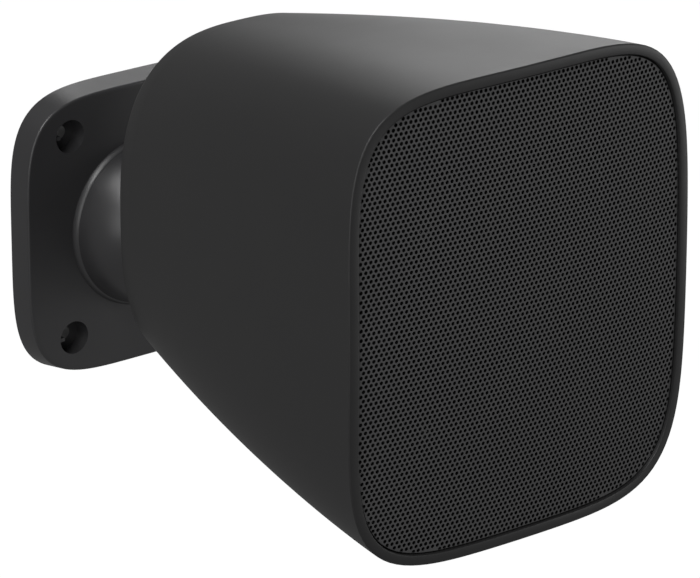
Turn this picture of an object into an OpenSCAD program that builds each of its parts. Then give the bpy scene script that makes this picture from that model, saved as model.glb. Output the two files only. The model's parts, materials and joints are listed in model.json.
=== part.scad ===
// Wall speaker: a tapered moulded cabinet on a ball joint, carried by a screwed wall plate.
// The origin is the centre of the wall plate's back face. The wall is the plane Y = 0,
// the speaker looks towards -Y, and +Z is up.

/* [Cabinet] */
// Width of the front outline
face_w = 151; // [136:1:182]
// Height of the front outline
face_h = 171; // [145:1:206]
// Width of the back outline
back_w = 107.8; // [91:0.2:130]
// Height of the back outline
back_h = 127.3; // [122:0.1:153]
// Depth from the crown of the face to the back
cabinet_d = 162.4; // [135:0.2:195]
// Wall thickness of the moulding
wall = 3.2; // [2.6:0.1:3.9]
// Width of the plain band around the grille
bezel = 4; // [3.4:0.1:4.8]
// Radius of the face's curve from side to side
face_bow_x = 625; // [520:5:900]
// Radius of the face's curve from top to bottom
face_bow_z = 1318; // [1000:2:2000]
// Fullness of the sides, 0 for straight ones
side_bulge = 0.42; // [0:0.01:0.6]
// Squareness of the front outline, 2 for an ellipse
face_square = 4.7; // [4:0.1:6]
// Squareness of the back outline, 2 for an ellipse
back_square = 2.74; // [2.6:0.02:4]
// How late the outline changes from the front to the back, 1 for evenly
square_turn = 1.26; // [1:0.02:1.6]
// Rounding of the back edge
back_round = 2.5; // [1.5:0.5:6]
// Rounding of the front edge
front_round = 0.7; // [0.5:0.1:2.4]

/* [Grille and baffle] */
// Thickness of the grille's steel sheet
grille_t = 1; // [0.8:0.1:1.2]
// How far the grille lies behind the plain band
grille_inset = 1.2; // [0.6:0.1:2]
// Clearance between the mouth and what sits in it
mouth_gap = 0.3; // [0.2:0.05:0.5]
// Distance from the crown of the face to the baffle
baffle_set = 17; // [15:0.5:21]
// Thickness of the baffle
baffle_t = 5; // [4:0.5:6]
// Thickness of the foam seal behind the baffle
seal_t = 1; // [0.5:0.1:1.5]
// Width of the ledge that the seal lies on
ledge_w = 5; // [4:0.5:7]
// Clearance between the baffle's screw bosses and the cabinet's wall
boss_clear = 0.6; // [0.2:0.1:2]

/* [Driver] */
// Radius of the basket's flange
driver_r = 54; // [52:0.5:58]
// Distance of the driver's axis below the middle of the face
driver_drop = 5; // [0:0.5:8]
// Radius of the paper cone
cone_r = 33; // [30:0.5:35]
// Width of the rubber roll around the cone
surround_w = 8.5; // [7:0.1:10]
// Depth of the cone
cone_d = 15; // [13:0.5:16]
// Outer radius of the voice coil's former
former_r = 12.9; // [10:0.1:14]
// Radius of the ferrite magnet
magnet_r = 35; // [30:0.5:42]
// Thickness of the ferrite magnet
magnet_t = 14; // [10:0.5:18]
// Depth of the pressed basket
basket_d = 28; // [27:0.5:34]
// Travel of the cone to each side
cone_travel = 2.5; // [1:0.1:2.5]

/* [Wall plate and ball joint] */
// Width of the wall plate
plate_w = 106; // [98:1:127]
// Height of the wall plate
plate_h = 111.4; // [98:0.2:134]
// Thickness of the wall plate
plate_t = 10.9; // [10:0.1:13]
// Skin of the wall plate
plate_skin = 3.2; // [2.6:0.1:4]
// Squareness of the wall plate's outline
plate_square = 4.3; // [3.6:0.1:6]
// Slope of the plate's top and bottom sides
plate_draft = 1.2; // [0:0.1:1.6]
// Distance of the wall screws from the plate's sides
wall_screw_inset_x = 20; // [17:0.1:22]
// Distance of the wall screws from the plate's top and bottom
wall_screw_inset_z = 16.4; // [14:0.1:20]
// Radius of a wall screw's hole
wall_hole_r = 2.6; // [2.1:0.1:3.2]
// Radius of the recess for a wall screw's head
wall_head_r = 6.3; // [5.5:0.1:6.8]
// Depth of the recess for a wall screw's head
wall_head_d = 7; // [5:0.5:7.5]
// Radius of the dome's foot
dome_r = 32.9; // [32:0.1:37]
// Radius of the ball
ball_r = 19; // [17:0.1:20]
// Distance of the ball's centre in front of the plate's face
ball_out = 14; // [13:0.5:18]
// Radius of the neck behind the cabinet
neck_r = 6.5; // [5:0.1:7]
// Distance from the ball's centre to the cabinet's back
reach = 43.7; // [38:0.1:52]
// Distance of the neck below the middle of the cabinet
neck_drop = 28.1; // [24:0.1:32]
// Radius of the cross pin that keeps the ball from rolling
pin_r = 2; // [1.5:0.1:2.5]

/* [Hidden] */
$fn = 72;
pan_range = 25;

// Places along the depth
ball_y = -(plate_t + ball_out);
back_y = ball_y - reach;
face_y = back_y - cabinet_d;

// Cabinet mouth and ledge
outline_count = 84;
mouth_w = face_w - 2 * bezel;
mouth_h = face_h - 2 * bezel;
seat_y = baffle_set + baffle_t + seal_t;
ledge_t = 4;
back_wall = wall + 0.6;
cavity_end = cabinet_d - back_wall;
boss_r = 4.6;
boss_l = 14;
baffle_screw_r = 1.7;
baffle_screw_head = 3.2;
screw_gap = 0.1;

// Driver
sheet = 1.5;
flange_in = cone_r + surround_w;
basket_r = flange_in + 5.3;
basket_seat_r = magnet_r - 5;
driver_screw_ring = (basket_r + driver_r) / 2;
driver_screw_r = 1.7;
driver_hole_r = 2.2;
lip_t = 0.6;
roll_r = surround_w / 2 - 0.3;
gasket_t = 2;
paper = 0.7;
former_t = 0.3;
winding_t = 0.5;
winding_l = 8.5;
gap_in = 0.6;
gap_out = 0.5;
front_plate_t = 5;
front_plate_r = magnet_r - 8;
back_plate_t = 5;
cap_r = former_r + 1.6;
cap_rise = 5;
window_count = 6;
window_w = 20;
window_r = 4;
tag_angle = 90;
tag_z = 13;
tag_gap = 0.4;
spider_room = 6.1;
glue_gap = 0.15;

// Ball joint
fit_gap = 0.05;
mouth_angle = 56;
pin_out = 2.2;
pin_l = 2 * (ball_r + pin_out);
groove_r = ball_r + pin_out + 0.3;
bore_r = groove_r + 2.5;
hub_r = bore_r + 8;
retainer_screw_ring = bore_r + 4;
retainer_screw_r = 1.5;
retainer_head_r = 2.7;
head_gap = 0.4;
retainer_flange_t = 3;
retainer_set = 1;
wall_boss_t = 2.2;
dome_step = 2.2;
dome_edge = 0.8;
dome_rise = ball_out + ball_r * 0.9;
stud_flange_r = 20;
stud_flange_t = 5;
stud_screw_ring = 14;
stud_screw_r = 1.9;
stud_boss_r = 4.2;
stud_boss_l = 7;
back_rib_x = back_w / 3;
back_rib_d = 8;
back_rib_h = 0.7 * back_h;

// Terminal recess in the cabinet's back
cup_up = 24;
cup_w = 56;
cup_h = 34;
cup_round = 6;
cup_lip = 5;
cup_lip_t = 2.5;
cup_d = 15;
cup_wall = 2;
cup_screw_r = 1.3;

function mix(a, b, t) = a + (b - a) * t;

// Half the outline's width in one direction, for a rounded rectangle of a given squareness
function reach_at(angle, w, h, square) =
    pow(pow(abs(cos(angle)) * 2 / w, square) + pow(abs(sin(angle)) * 2 / h, square), -1 / square);

function outline(w, h, square, count = outline_count) =
    [for (i = [0:count - 1])
        let (angle = 360 * i / count, r = reach_at(angle, w, h, square))
        [r * cos(angle), r * sin(angle)]];

// How far the curved face lies behind its crown
function face_sag(p) = p[0] * p[0] / (2 * face_bow_x) + p[1] * p[1] / (2 * face_bow_z);

// Narrowing of the cabinet from the face, 0, to the back, 1
function taper(t) = t + side_bulge * t * (t - 1);

function body_w(t) = mix(face_w, back_w, taper(t));
function body_h(t) = mix(face_h, back_h, taper(t));
function body_square(t) = mix(face_square, back_square, pow(t, square_turn));

// A ring that follows the curved face at a given depth behind it
function face_ring(points, depth) = [for (p = points) [p[0], face_sag(p) + depth, p[1]]];

// The mouth's outline, a little squarer at the face than at the ledge
function mouth_outline(depth, inset, share = 1) =
    let (w = share * (mouth_w - 2 * inset), h = share * (mouth_h - 2 * inset),
        front = outline(w, h, face_square + 0.4),
        back = outline(w, h, body_square(seat_y / cabinet_d)))
    [for (i = [0:outline_count - 1]) mix(front[i], back[i], depth / seat_y)];

// A flat ring of the mouth's outline
function mouth_ring(inset, depth) = [for (p = mouth_outline(depth, inset)) [p[0], depth, p[1]]];

// A ring of the body at a share of its depth, which flattens from the face to the back
function body_ring(t, inset = 0) =
    [for (p = outline(body_w(t) - 2 * inset, body_h(t) - 2 * inset, body_square(t)))
        [p[0], t * cabinet_d + (1 - t) * face_sag(p), p[1]]];

// A flat ring of the body, for edges at the back and inside
function flat_ring(depth, inset) =
    let (t = depth / cabinet_d)
    [for (p = outline(body_w(t) - 2 * inset, body_h(t) - 2 * inset, body_square(t))) [p[0], depth, p[1]]];

// One closed skin through a list of rings, with a point that closes each end.
// The first point's cap faces away from the last point, whichever way the rings run.
module loft(start, rings, end) {
    count = len(rings[0]);
    last = len(rings) - 1;
    points = concat([for (ring = rings) each ring], [start, end]);
    first_cap = [for (j = [0:count - 1]) [len(points) - 2, j, (j + 1) % count]];
    last_cap = [for (j = [0:count - 1]) [len(points) - 1, last * count + (j + 1) % count, last * count + j]];
    sides = [for (i = [0:last - 1], j = [0:count - 1])
        let (a = i * count + j, b = i * count + (j + 1) % count)
        each [[a, a + count, b], [b, a + count, b + count]]];
    faces = concat(first_cap, sides, last_cap);
    polyhedron(points, start[1] > end[1] ? faces : [for (f = faces) [f[2], f[1], f[0]]], convexity = 6);
}

// The cabinet's own space: X to the right, Y from the face's crown to the back, Z up
module in_cabinet() {
    translate([0, face_y, neck_drop]) children();
}

// The driver's own space: Z from the flange's front backwards
module in_driver() {
    in_cabinet() translate([0, baffle_set - sheet, -driver_drop]) rotate([-90, 0, 0]) children();
}

// The joint's own space: Z from the ball's centre towards the cabinet
module in_joint() {
    translate([0, ball_y, 0]) rotate([90, 0, 0]) children();
}

module ring(inner, outer, from, to) {
    difference() {
        translate([0, 0, from]) cylinder(r = outer, h = to - from);
        translate([0, 0, from - 1]) cylinder(r = inner, h = to - from + 2);
    }
}

module at_corners(x, z) {
    for (sx = [-1, 1], sz = [-1, 1]) translate([sx * x, 0, sz * z]) children();
}

module around(radius, count, turn = 45) {
    for (i = [0:count - 1]) rotate([0, 0, turn + 360 * i / count]) translate([radius, 0, 0]) children();
}

// A pan head screw: its head's underside is at Z = 0 and its shank runs along +Z
module screw(shank_r, length, head_r, head_t) {
    difference() {
        union() {
            cylinder(r = shank_r, h = length);
            translate([0, 0, -head_t]) cylinder(r1 = head_r * 0.78, r2 = head_r, h = head_t);
        }
        for (turn = [0, 90]) rotate([0, 0, turn]) translate([-head_r * 0.5, -head_r * 0.12, -head_t - 1])
            cube([head_r, head_r * 0.24, head_t * 0.6 + 1]);
    }
}

// Rounded rectangle in the XZ plane, pushed along +Y
module rounded_slab(w, h, round, depth) {
    corners = [for (side = [[1, 1], [-1, 1], [-1, -1], [1, -1]])
        [side[0] * (w / 2 - round), side[1] * (h / 2 - round)]];
    points = [for (k = [0:3], i = [0:6])
        [corners[k][0] + round * cos(90 * k + 15 * i), corners[k][1] + round * sin(90 * k + 15 * i)]];
    rotate([90, 0, 0]) mirror([0, 0, 1]) linear_extrude(depth) polygon(points);
}

// Wall plate

plate_hole_x = plate_w / 2 - wall_screw_inset_x;
plate_hole_z = plate_h / 2 - wall_screw_inset_z;

function plate_ring(inset, y, draft = 0) =
    [for (p = outline(plate_w - 2 * inset, plate_h - 2 * (inset + draft), plate_square)) [p[0], y, p[1]]];

// Ribs stop inside the plate's wall
function rib_end(turn) = reach_at(turn, plate_w, plate_h - 2 * plate_draft, plate_square) - plate_skin + 1;

module plate_shell() {
    edge = 0.9;
    back_edge = 0.4;
    side_draft = 0.3;
    inner_round = 1.5;
    pocket = plate_t - plate_skin;
    loft([0, -pocket, 0],
        [plate_ring(plate_skin + inner_round, -pocket, plate_draft),
         plate_ring(plate_skin, inner_round - pocket, plate_draft),
         plate_ring(plate_skin, 0),
         plate_ring(back_edge, 0),
         plate_ring(0, -back_edge),
         plate_ring(side_draft, edge - plate_t, plate_draft),
         plate_ring(side_draft + edge * 0.13, edge * 0.5 - plate_t, plate_draft),
         plate_ring(side_draft + edge * 0.5, edge * 0.13 - plate_t, plate_draft),
         plate_ring(side_draft + edge, -plate_t, plate_draft)],
        [0, -plate_t, 0]);
}

// The dome around the ball turns about the joint's axis, over a low collar with a rounded edge
module dome() {
    face = -ball_out;
    collar_r = dome_r - dome_edge;
    profile = concat(
        [[0, face - plate_skin], [dome_r, face - plate_skin]],
        [for (u = [0:15:90]) [collar_r + dome_edge * cos(u), face + dome_step - dome_edge * (1 - sin(u))]],
        [for (u = [8:7.5:83]) [(collar_r - 0.2) * cos(u), face + dome_step + dome_rise * (sin(u) - sin(8))]],
        [[0, face + dome_step + dome_rise * (1 - sin(8))]]);
    rotate_extrude() polygon(profile);
}

// The level slot in which the cross pin's ends travel as the speaker pans
module pin_slot() {
    half_t = pin_r + 0.15;
    half_l = pin_l / 2 * sin(pan_range) + pin_r * cos(pan_range) + 0.4;
    intersection() {
        rotate([90, 0, 0]) translate([0, 0, -half_t]) cylinder(r = groove_r, h = 2 * half_t);
        translate([-groove_r - 1, -groove_r, -half_l]) cube([2 * groove_r + 2, 2 * groove_r, 2 * half_l]);
    }
}

// The rib stands on the side of the recess that is farther from the dome
module wall_screw_recess(side) {
    rib_w = 1.4;
    rib_out = 2.4;
    rib_set = 0.6;
    floor_z = plate_t - wall_head_d;
    rotate([90, 0, 0]) {
        translate([0, 0, -1]) cylinder(r = wall_hole_r, h = plate_t + 2);
        difference() {
            translate([0, 0, floor_z]) cylinder(r = wall_head_r, h = wall_head_d + 1);
            translate([side * wall_head_r - rib_out, -rib_w / 2, floor_z - 1])
                cube([2 * rib_out, rib_w, wall_head_d + 1 - rib_set]);
        }
    }
}

module wall_plate() {
    hub_y = retainer_set + retainer_flange_t;
    color("#26262a") difference() {
        union() {
            plate_shell();
            in_joint() dome();
            rotate([90, 0, 0]) translate([0, 0, hub_y]) cylinder(r = hub_r, h = plate_t - hub_y - 1);
            at_corners(plate_hole_x, plate_hole_z) rotate([90, 0, 0])
                cylinder(r = wall_head_r + wall_boss_t, h = plate_t - 1);
            for (turn = [0:90:270]) rotate([0, -turn, 0])
                translate([hub_r - 1, 1 - plate_t, -1])
                    cube([rib_end(turn) - hub_r, plate_t - 1 - hub_y, 2]);
        }
        in_joint() {
            sphere(r = ball_r + fit_gap);
            cylinder(r1 = 0, r2 = 2 * dome_r * tan(mouth_angle), h = 2 * dome_r);
            pin_slot();
            translate([0, 0, ball_y - 1]) cylinder(r = bore_r, h = 1 - ball_y + pin_r + 0.3);
            around(retainer_screw_ring, 4) translate([0, 0, ball_y - 1])
                cylinder(r = retainer_screw_r + screw_gap, h = 12);
        }
        for (side = [-1, 1], up = [-1, 1])
            translate([side * plate_hole_x, 0, up * plate_hole_z]) wall_screw_recess(side);
    }
}

// The cup behind the ball goes in from the wall side and is held by screws
module ball_retainer() {
    flange_z = ball_y + retainer_set;
    color("#303034") in_joint() difference() {
        union() {
            translate([0, 0, flange_z]) cylinder(r = hub_r, h = retainer_flange_t);
            translate([0, 0, flange_z + 1]) cylinder(r = bore_r - fit_gap, h = -flange_z - 1.5);
        }
        sphere(r = ball_r + fit_gap);
        pin_slot();
        around(retainer_screw_ring, 4) translate([0, 0, flange_z - 1]) {
            cylinder(r = retainer_screw_r + screw_gap, h = 12);
            cylinder(r = retainer_head_r + head_gap, h = 2.2);
        }
    }
}

module retainer_screws() {
    head_t = 1;
    color("silver") in_joint() around(retainer_screw_ring, 4)
        translate([0, 0, ball_y + retainer_set + 1.2]) screw(retainer_screw_r, 8, retainer_head_r, head_t);
}

module cross_pin() {
    chamfer = 0.4;
    profile = [[0, -pin_l / 2], [pin_r - chamfer, -pin_l / 2], [pin_r, chamfer - pin_l / 2],
        [pin_r, pin_l / 2 - chamfer], [pin_r - chamfer, pin_l / 2], [0, pin_l / 2]];
    color("silver") in_joint() rotate([0, 90, 0]) rotate_extrude() polygon(profile);
}

// Ball, neck and flange are one moulding, which turns with the cabinet
module ball_stud() {
    flare = 4;
    flange_z = reach - stud_flange_t;
    profile = concat(
        [[0, 0], [neck_r, 0], [neck_r, flange_z - flare]],
        [for (u = [15:15:90]) [neck_r + flare * (1 - cos(u)), flange_z - flare + flare * sin(u)]],
        [[stud_flange_r - 1, flange_z], [stud_flange_r, flange_z + 1], [stud_flange_r, reach], [0, reach]]);
    color("#1f1f22") in_joint() difference() {
        union() {
            sphere(r = ball_r);
            rotate_extrude() polygon(profile);
        }
        rotate([0, 90, 0]) translate([0, 0, -ball_r - 1]) cylinder(r = pin_r + fit_gap, h = 2 * ball_r + 2);
        around(stud_screw_ring, 4) translate([0, 0, flange_z - 1])
            cylinder(r = stud_screw_r + screw_gap, h = stud_flange_t + 2);
    }
}

module stud_screws() {
    length = stud_flange_t + back_wall + stud_boss_l - 1;
    color("silver") in_joint() around(stud_screw_ring, 4) translate([0, 0, reach - stud_flange_t])
        screw(stud_screw_r, length, 3.3, 2.2);
}

// Cabinet

// The screws stand in the corners. Their bosses stay inside the tapering wall, and their heads
// clear the grille's rim.
corner_angle = atan(mouth_h / mouth_w);
boss_end_t = (baffle_set + baffle_t + boss_l) / cabinet_d;
boss_reach = reach_at(corner_angle, body_w(boss_end_t), body_h(boss_end_t), body_square(boss_end_t))
    - boss_r;
rim_reach = reach_at(corner_angle, mouth_w, mouth_h, body_square(seat_y / cabinet_d)) - mouth_gap - grille_t;
baffle_screw_reach = min(boss_reach, rim_reach - baffle_screw_head) - boss_clear;
baffle_screw_x = baffle_screw_reach * cos(corner_angle);
baffle_screw_z = baffle_screw_reach * sin(corner_angle);

module cabinet_shell() {
    edge = front_round;
    back_t = 1 - back_round / cabinet_d;
    front_ring_t = 0.05;
    body_steps = 9;
    front = [for (cut = [[0.13, 0.5], [0.5, 0.13], [1, 0]])
        let (w = face_w - 2 * edge * cut[0], h = face_h - 2 * edge * cut[0])
        face_ring(outline(w, h, face_square), edge * cut[1])];
    middle = [for (k = [body_steps - 1:-1:1]) k / body_steps];
    shares = concat([back_t], middle, [front_ring_t, edge / cabinet_d]);
    loft([0, cabinet_d, 0],
        concat(
            [flat_ring(cabinet_d, back_round),
             flat_ring(cabinet_d - back_round * 0.13, back_round * 0.5),
             flat_ring(cabinet_d - back_round * 0.5, back_round * 0.13)],
            [for (t = shares) body_ring(t)],
            front,
            [face_ring(mouth_outline(0, -0.4), 0.1),
             face_ring(mouth_outline(0, 0), 0.6),
             mouth_ring(0, seat_y),
             mouth_ring(ledge_w, seat_y),
             mouth_ring(ledge_w, seat_y + ledge_t)],
            [for (depth = [seat_y + 2 * ledge_t, 0.3 * cabinet_d, 0.45 * cabinet_d, 0.6 * cabinet_d,
                0.75 * cabinet_d, cavity_end - back_round]) flat_ring(depth, wall)],
            [flat_ring(cavity_end, wall + back_round)]),
        [0, cavity_end, 0]);
}

module at_stud() {
    translate([0, cabinet_d, -neck_drop]) rotate([90, 0, 0]) children();
}

module cabinet() {
    boss_y = baffle_set + baffle_t;
    color("#2b2b2e") in_cabinet() difference() {
        union() {
            cabinet_shell();
            at_corners(baffle_screw_x, baffle_screw_z) translate([0, boss_y, 0]) rotate([-90, 0, 0])
                cylinder(r = boss_r, h = boss_l);
            at_stud() around(stud_screw_ring, 4) translate([0, 0, 1])
                cylinder(r = stud_boss_r, h = back_wall + stud_boss_l);
            at_stud() ring(stud_flange_r - 1, stud_flange_r + 1.5, 1, back_wall + 4);
            for (side = [-1, 1]) translate([side * back_rib_x - 1, cavity_end - back_rib_d, -back_rib_h / 2])
                cube([2, back_rib_d + 1, back_rib_h]);
        }
        at_corners(baffle_screw_x, baffle_screw_z) translate([0, boss_y - 1, 0]) rotate([-90, 0, 0])
            cylinder(r = baffle_screw_r + screw_gap, h = boss_l - 1);
        at_stud() around(stud_screw_ring, 4) translate([0, 0, -1])
            cylinder(r = stud_screw_r + screw_gap, h = back_wall + stud_boss_l + 1);
        translate([0, cavity_end - 3, cup_up]) rounded_slab(cup_w + 1, cup_h + 1, cup_round, back_wall + 6);
        at_cup_screws() rotate([90, 0, 0]) translate([0, 0, -1])
            cylinder(r = cup_screw_r + screw_gap, h = back_wall + 2);
    }
}

// Baffle and what closes the front

module baffle() {
    back = baffle_set + baffle_t;
    rib_t = 2;
    rib_d = 4;
    rib_from = 36;
    rib_l = mouth_h / 2 - ledge_w - 3 - rib_from;
    color("#1c1c1f") in_cabinet() difference() {
        union() {
            loft([0, baffle_set, 0],
                [mouth_ring(mouth_gap + 0.6, baffle_set),
                 mouth_ring(mouth_gap, baffle_set + 0.6),
                 mouth_ring(mouth_gap, back)],
                [0, back, 0]);
            translate([0, 0, -driver_drop]) rotate([-90, 0, 0])
                ring(basket_r + 1, basket_r + 4, back - 1, back + rib_d + 1);
            for (side = [-1, 1]) translate([side * (basket_r - 12) - rib_t / 2, back - 1, 0])
                for (up = [0, 1]) mirror([0, 0, up]) translate([0, 0, rib_from])
                    cube([rib_t, rib_d + 1, rib_l]);
        }
        translate([0, baffle_set - 1, -driver_drop]) rotate([-90, 0, 0]) {
            cylinder(r = basket_r + 0.5, h = baffle_t + 8);
            around(driver_screw_ring, 4) cylinder(r = driver_screw_r + screw_gap, h = baffle_t + 8);
        }
        at_corners(baffle_screw_x, baffle_screw_z) translate([0, baffle_set - 1, 0]) rotate([-90, 0, 0])
            cylinder(r = baffle_screw_r + screw_gap, h = baffle_t + 2);
    }
}

module baffle_seal() {
    color("#3a3a3c") in_cabinet() difference() {
        loft([0, seat_y - seal_t, 0],
            [mouth_ring(mouth_gap, seat_y - seal_t), mouth_ring(mouth_gap, seat_y)],
            [0, seat_y, 0]);
        loft([0, seat_y - seal_t - 1, 0],
            [mouth_ring(ledge_w - 1, seat_y - seal_t - 1), mouth_ring(ledge_w - 1, seat_y + 1)],
            [0, seat_y + 1, 0]);
        at_corners(baffle_screw_x, baffle_screw_z) translate([0, seat_y - seal_t - 1, 0]) rotate([-90, 0, 0])
            cylinder(r = boss_r + 0.3, h = seal_t + 2);
    }
}

module baffle_screws() {
    head_t = 2;
    length = baffle_t + boss_l - 5;
    color("silver") in_cabinet() at_corners(baffle_screw_x, baffle_screw_z)
        translate([0, baffle_set, 0]) rotate([-90, 0, 0])
            screw(baffle_screw_r, length, baffle_screw_head, head_t);
}

// Domed sheet with a rim folded back all round, which stands on the baffle
module grille() {
    bend = 1.4;
    shares = [0.3, 0.6, 0.85];
    back_shares = [0.85, 0.6, 0.3];
    back = grille_inset + grille_t;
    rim = mouth_gap + grille_t;
    color("#3c3c3f") in_cabinet()
        loft([0, grille_inset, 0],
            concat(
                [for (s = shares) face_ring(mouth_outline(0, mouth_gap, s), grille_inset)],
                [face_ring(mouth_outline(0, mouth_gap + bend), grille_inset),
                 face_ring(mouth_outline(0, mouth_gap + bend * 0.3), grille_inset + bend * 0.3),
                 face_ring(mouth_outline(0, mouth_gap), grille_inset + bend),
                 mouth_ring(mouth_gap, baffle_set),
                 mouth_ring(rim, baffle_set),
                 face_ring(mouth_outline(0, rim), grille_inset + bend),
                 face_ring(mouth_outline(0, rim + bend * 0.3), back)],
                [for (s = back_shares) face_ring(mouth_outline(0, mouth_gap, s), back)]),
            [0, back, 0]);
}

// Loose polyester fill behind the driver, a little smaller than the cavity
module wadding() {
    from = 0.56 * cabinet_d;
    to = 0.83 * cabinet_d;
    gap = wall + 0.8;
    soft = 6;
    color("white") in_cabinet()
        loft([0, from, 0],
            [flat_ring(from, gap + soft), flat_ring(from + soft, gap), flat_ring((from + to) / 2, gap),
             flat_ring(to - soft, gap), flat_ring(to, gap + soft)],
            [0, to, 0]);
}

// Driver

// The basket's wall, outside and inside, at a depth behind its flange
wall_z = basket_d * 0.3;
bend_z = basket_d - 3;
function basket_out(z) = mix(basket_r - 2, basket_seat_r + sheet, (z - wall_z) / (bend_z - wall_z));
function basket_in(z) =
    mix(basket_r - 2 - sheet, basket_seat_r - 0.3, (z - wall_z) / (bend_z - 0.4 - wall_z));

spider_z = basket_d - cone_travel - spider_room;
spider_r = basket_in(spider_z + 1) - 0.2;

module driver_basket() {
    seat_in = former_r + 3;
    profile = [[flange_in, 0], [driver_r, 0], [driver_r, sheet], [basket_r, sheet],
        [basket_out(wall_z), wall_z], [basket_out(bend_z), bend_z], [basket_seat_r, basket_d],
        [seat_in, basket_d], [seat_in, basket_d - sheet], [basket_seat_r - sheet, basket_d - sheet],
        [basket_seat_r - 0.3, bend_z - 0.4], [basket_in(wall_z), wall_z], [basket_r - sheet, sheet],
        [flange_in, sheet]];
    window_z = basket_d * 0.43;
    color("#4a4a4d") in_driver() {
        difference() {
            union() {
                rotate_extrude() polygon(profile);
                ring(spider_r - 4.5, spider_r + 0.6, spider_z + 1, spider_z + 2.5);
                rotate([0, 0, tag_angle]) translate([basket_out(tag_z) - 1, -8, tag_z])
                    cube([basket_r - basket_out(tag_z) + 1, 16, sheet]);
            }
            for (i = [0:window_count - 1]) rotate([0, 0, i * 360 / window_count])
                translate([spider_r - 2, 0, window_z]) {
                    for (side = [-1, 1]) translate([0, side * (window_w / 2 - window_r), 0])
                        rotate([0, 90, 0]) cylinder(r = window_r, h = 20);
                    translate([0, window_r - window_w / 2, -window_r])
                        cube([20, window_w - 2 * window_r, 2 * window_r]);
                }
            around(driver_screw_ring, 4) translate([0, 0, -1]) cylinder(r = driver_hole_r, h = sheet + 2);
        }
    }
}

module driver_gasket() {
    color("#202022") in_driver() ring(flange_in + 0.5, basket_r, -lip_t - gasket_t, -lip_t);
}

// Half roll of rubber with a flat lip on the cone and one under the gasket
module surround() {
    middle = cone_r + surround_w / 2;
    outer = [for (u = [0:15:180]) [middle + roll_r * cos(u), -lip_t / 2 - roll_r * sin(u)]];
    inner = [for (u = [180:-15:0]) [middle + (roll_r - lip_t) * cos(u), -(roll_r - lip_t) * sin(u)]];
    profile = concat([[basket_r, 0], [basket_r, -lip_t]], [[middle + roll_r, -lip_t]], outer,
        [[middle - roll_r, -lip_t], [cone_r - 1.5, -lip_t], [cone_r - 1.5, 0]], inner);
    color("#19191b") in_driver() rotate_extrude() polygon(profile);
}

function cone_z(u) = cone_d * pow(1 - u, 1.2);

module cone() {
    rim_in = cone_r - 1.8;
    steps = [0:0.125:1];
    front = [for (u = steps) [mix(former_r, rim_in, u), cone_z(u)]];
    back = [for (u = [1:-0.125:0]) [mix(former_r, rim_in, u), cone_z(u) + paper]];
    profile = concat(front, [[cone_r + 0.2, 0], [cone_r + 0.2, paper]], back);
    color("#2e2e31") in_driver() rotate_extrude() polygon(profile);
}

module dust_cap() {
    seat = cone_z((cap_r - former_r) / (cone_r - 1.8 - former_r)) - glue_gap;
    ball = (cap_r * cap_r + cap_rise * cap_rise) / (2 * cap_rise);
    span = asin(cap_r / ball);
    middle = seat + ball - cap_rise;
    outer = [for (i = [0:6]) let (a = span * (1 - i / 6)) [ball * sin(a), middle - ball * cos(a)]];
    inner = [for (i = [0:6]) let (a = span * i / 6, r = ball - paper) [r * sin(a), middle - r * cos(a)]];
    color("#3a3a3d") in_driver() rotate_extrude() polygon(concat(outer, inner));
}

module voice_coil() {
    top = cone_d + 0.4;
    winding_z = basket_d + front_plate_t / 2 - winding_l / 2;
    color("#b87333") in_driver() {
        ring(former_r - former_t, former_r, top, winding_z + winding_l + 1);
        ring(former_r, former_r + winding_t, winding_z, winding_z + winding_l);
    }
}

module spider() {
    inner = former_r + 0.3;
    waves = 3;
    steps = 24;
    flat = spider_r - 4;
    near = spider_z + 0.4;
    far = spider_z + 1;
    wave = [for (i = [0:steps]) [mix(inner, flat, i / steps), 0.5 * sin(360 * waves * i / steps)]];
    front = [for (i = [0:steps]) [wave[i][0], near + wave[i][1]]];
    back = [for (i = [steps:-1:0]) [wave[i][0], far + wave[i][1]]];
    color("#c8a050") in_driver() rotate_extrude()
        polygon(concat(front, [[spider_r, near], [spider_r, far]], back));
}

module front_plate() {
    color("silver") in_driver()
        ring(former_r + winding_t + gap_out, front_plate_r, basket_d, basket_d + front_plate_t);
}

module magnet() {
    color("#333333") in_driver()
        ring(former_r + 4, magnet_r, basket_d + front_plate_t, basket_d + front_plate_t + magnet_t);
}

module pole_piece() {
    plate_z = basket_d + front_plate_t + magnet_t;
    color("silver") in_driver() {
        translate([0, 0, basket_d])
            cylinder(r = former_r - former_t - gap_in, h = front_plate_t + magnet_t + 1);
        translate([0, 0, plate_z]) cylinder(r1 = magnet_r - 4, r2 = magnet_r - 5.5, h = back_plate_t);
    }
}

// Two solder tags on a small insulating strip
module tag_strip() {
    foot = basket_out(tag_z + sheet) + tag_gap;
    strip_l = basket_r - foot - 0.6;
    color("#8a6a3a") in_driver() rotate([0, 0, tag_angle]) translate([foot, 0, tag_z + sheet]) {
        translate([0, -6, 0]) cube([strip_l, 12, 1.2]);
        for (side = [-1, 1]) translate([1, side * 3.5 - 1.25, 1]) cube([strip_l - 0.4, 2.5, 0.8]);
    }
}

module driver_screws() {
    color("silver") in_driver() around(driver_screw_ring, 4) screw(driver_screw_r, 9, 3.1, 1.6);
}

// Terminals in the back

module at_cup_screws() {
    out = cup_lip / 2 - 1;
    translate([0, cabinet_d, cup_up]) at_corners(cup_w / 2 + out, cup_h / 2 + out) children();
}

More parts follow.
